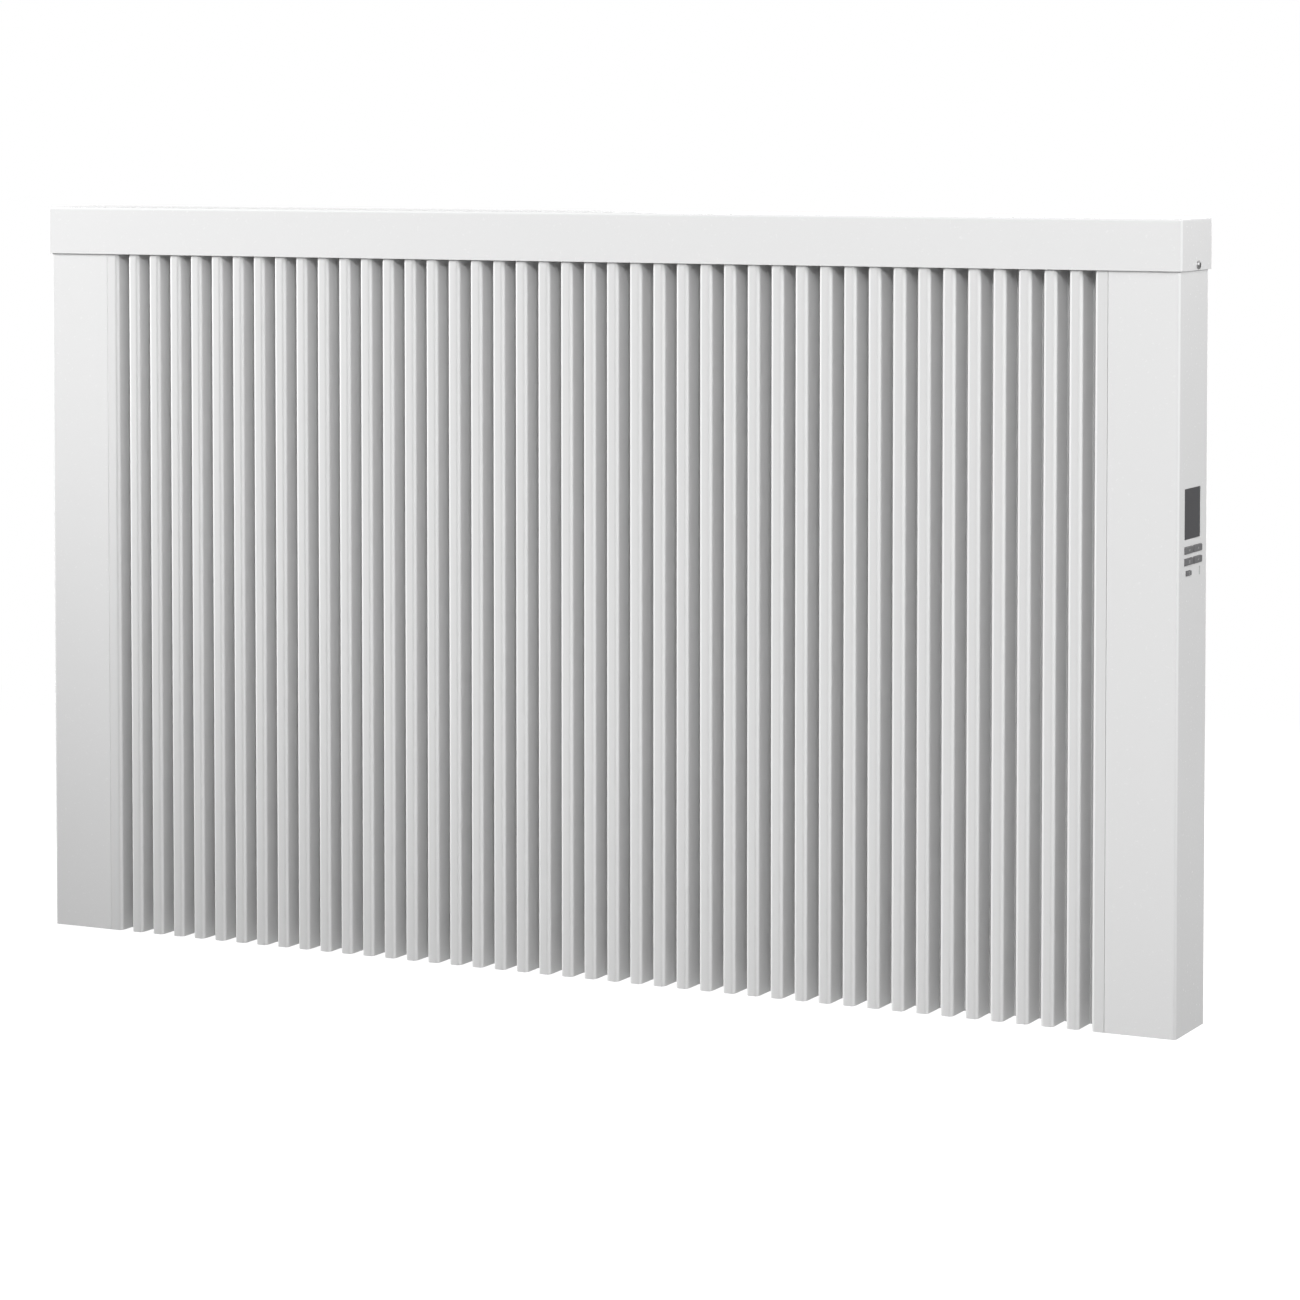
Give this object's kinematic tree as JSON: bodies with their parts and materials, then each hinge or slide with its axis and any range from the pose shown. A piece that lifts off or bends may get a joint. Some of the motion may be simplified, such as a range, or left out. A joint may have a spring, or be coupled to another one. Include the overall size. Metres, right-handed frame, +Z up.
{
  "type": "wall panel convector heater",
  "caption": "Slim white wall-hung electric panel heater with a ribbed convection front, a folded cap and a small side controller with keys.",
  "frame": {"origin": "on the wall plane, at the centre of the four wall screws, half way up the heater", "axes": "+X to the right seen from the room, +Y into the wall, +Z up"},
  "size_m": [1.008, 0.082, 0.61],
  "materials": {
    "white_enamel": "satin powder coat",
    "galvanised": "dull zinc",
    "zinc_screw": "bright zinc",
    "fireclay": "matte fired clay",
    "mineral_wool": "matte fibre",
    "element_steel": "heat-tinted",
    "porcelain": "glazed ceramic",
    "brass": "plain",
    "wire_insulation": "silicone",
    "black_plastic": "matte",
    "white_plastic": "matte",
    "grey_plastic": "satin",
    "smoked_window": "gloss",
    "light_guide": "gloss",
    "board": "solder mask",
    "rubber": "matte"
  },
  "bodies": {
    "heater": {"fluted_front": "white_enamel", "top_cap": "white_enamel", "side_panel_left": "white_enamel", "side_panel_right": "white_enamel", "rear_panel": "galvanised", "column_base_left": "galvanised", "column_base_right": "galvanised", "baffle_left": "galvanised", "baffle_right": "galvanised", "core_tray": "galvanised", "insulation_board": "mineral_wool", "rear_fireclay_plates": "fireclay", "front_fireclay_plates": "fireclay", "heating_element_lower": "element_steel", "heating_element_upper": "element_steel", "element_bushes": "porcelain", "element_terminals": "brass", "element_wires": "wire_insulation", "safety_cutout": "brass", "cutout_wires": "wire_insulation", "terminal_block": "porcelain", "supply_wires": "wire_insulation", "earth_stud": "brass", "earth_wire": "wire_insulation", "cable_gland": "black_plastic", "gland_locknut": "black_plastic", "gland_cap": "black_plastic", "controller_frame": "white_plastic", "controller_housing": "white_plastic", "controller_nuts": "zinc_screw", "display_window": "smoked_window", "lcd_module": "grey_plastic", "circuit_board": "board", "board_components": "black_plastic", "tact_switches": "black_plastic", "status_light": "light_guide", "room_sensor": "black_plastic", "sensor_wire": "wire_insulation", "wall_bracket_left": "galvanised", "wall_bracket_right": "galvanised", "bracket_buffers": "rubber", "cap_screws": "zinc_screw", "cap_nuts": "zinc_screw", "casing_screws": "zinc_screw"},
    "key_down_body": {"key_down": "grey_plastic"},
    "key_up_body": {"key_up": "grey_plastic"},
    "key_mode_body": {"key_mode": "grey_plastic"},
    "key_confirm_body": {"key_confirm": "grey_plastic"},
    "key_standby_body": {"key_standby": "grey_plastic"}
  },
  "joints": [
    {"name": "press_down", "type": "slide", "parent": "heater", "child": "key_down_body", "axis": [-1, 0, 0], "range_m": [0, 0.0006], "stiffness_N_per_m": 400, "springref_m": -0.0006},
    {"name": "press_up", "type": "slide", "parent": "heater", "child": "key_up_body", "axis": [-1, 0, 0], "range_m": [0, 0.0006], "stiffness_N_per_m": 400, "springref_m": -0.0006},
    {"name": "press_mode", "type": "slide", "parent": "heater", "child": "key_mode_body", "axis": [-1, 0, 0], "range_m": [0, 0.0006], "stiffness_N_per_m": 400, "springref_m": -0.0006},
    {"name": "press_confirm", "type": "slide", "parent": "heater", "child": "key_confirm_body", "axis": [-1, 0, 0], "range_m": [0, 0.0006], "stiffness_N_per_m": 400, "springref_m": -0.0006},
    {"name": "press_standby", "type": "slide", "parent": "heater", "child": "key_standby_body", "axis": [-1, 0, 0], "range_m": [0, 0.0006], "stiffness_N_per_m": 400, "springref_m": -0.0006}
  ]
}
